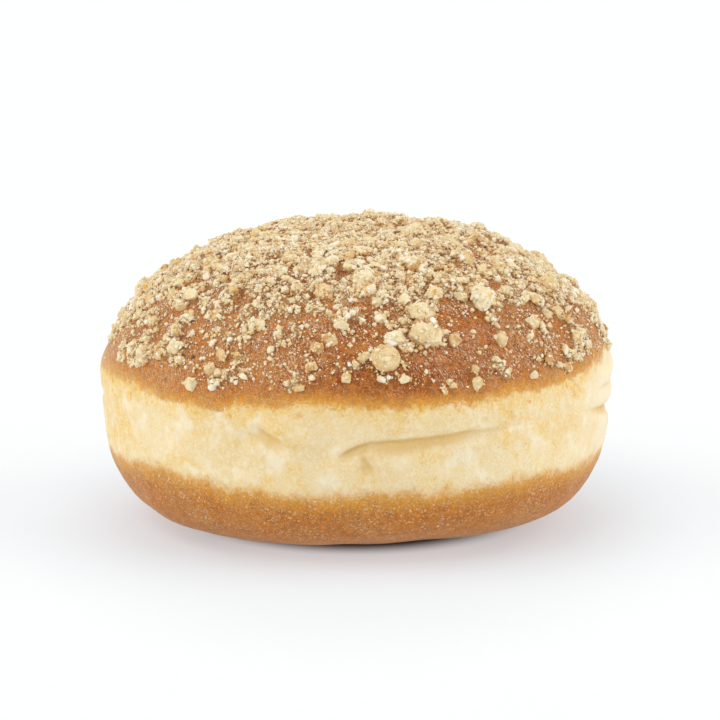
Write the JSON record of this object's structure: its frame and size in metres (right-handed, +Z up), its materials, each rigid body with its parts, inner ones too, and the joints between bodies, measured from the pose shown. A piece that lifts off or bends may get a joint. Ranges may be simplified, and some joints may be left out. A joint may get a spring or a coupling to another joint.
{
  "type": "nut-topped round doughnut",
  "caption": "Round yeast doughnut with no hole: brown fried crust above and below, a pale soft belt between, and chopped walnuts over the crown.",
  "frame": {"origin": "middle of the flat foot it rests on, at the base, under the middle of its outer box", "axes": "+Z up through the crown, -Y to the side the picture shows"},
  "size_m": [0.0898, 0.0897, 0.0525],
  "materials": {
    "fried_dough": "soft fried crust, brown above and below and pale cream at the belt, with a thin sheen",
    "chopped_walnut": "dry, rough, pale beige crumbs"
  },
  "bodies": {
    "root": {"doughnut": "fried_dough"}
  },
  "joints": []
}
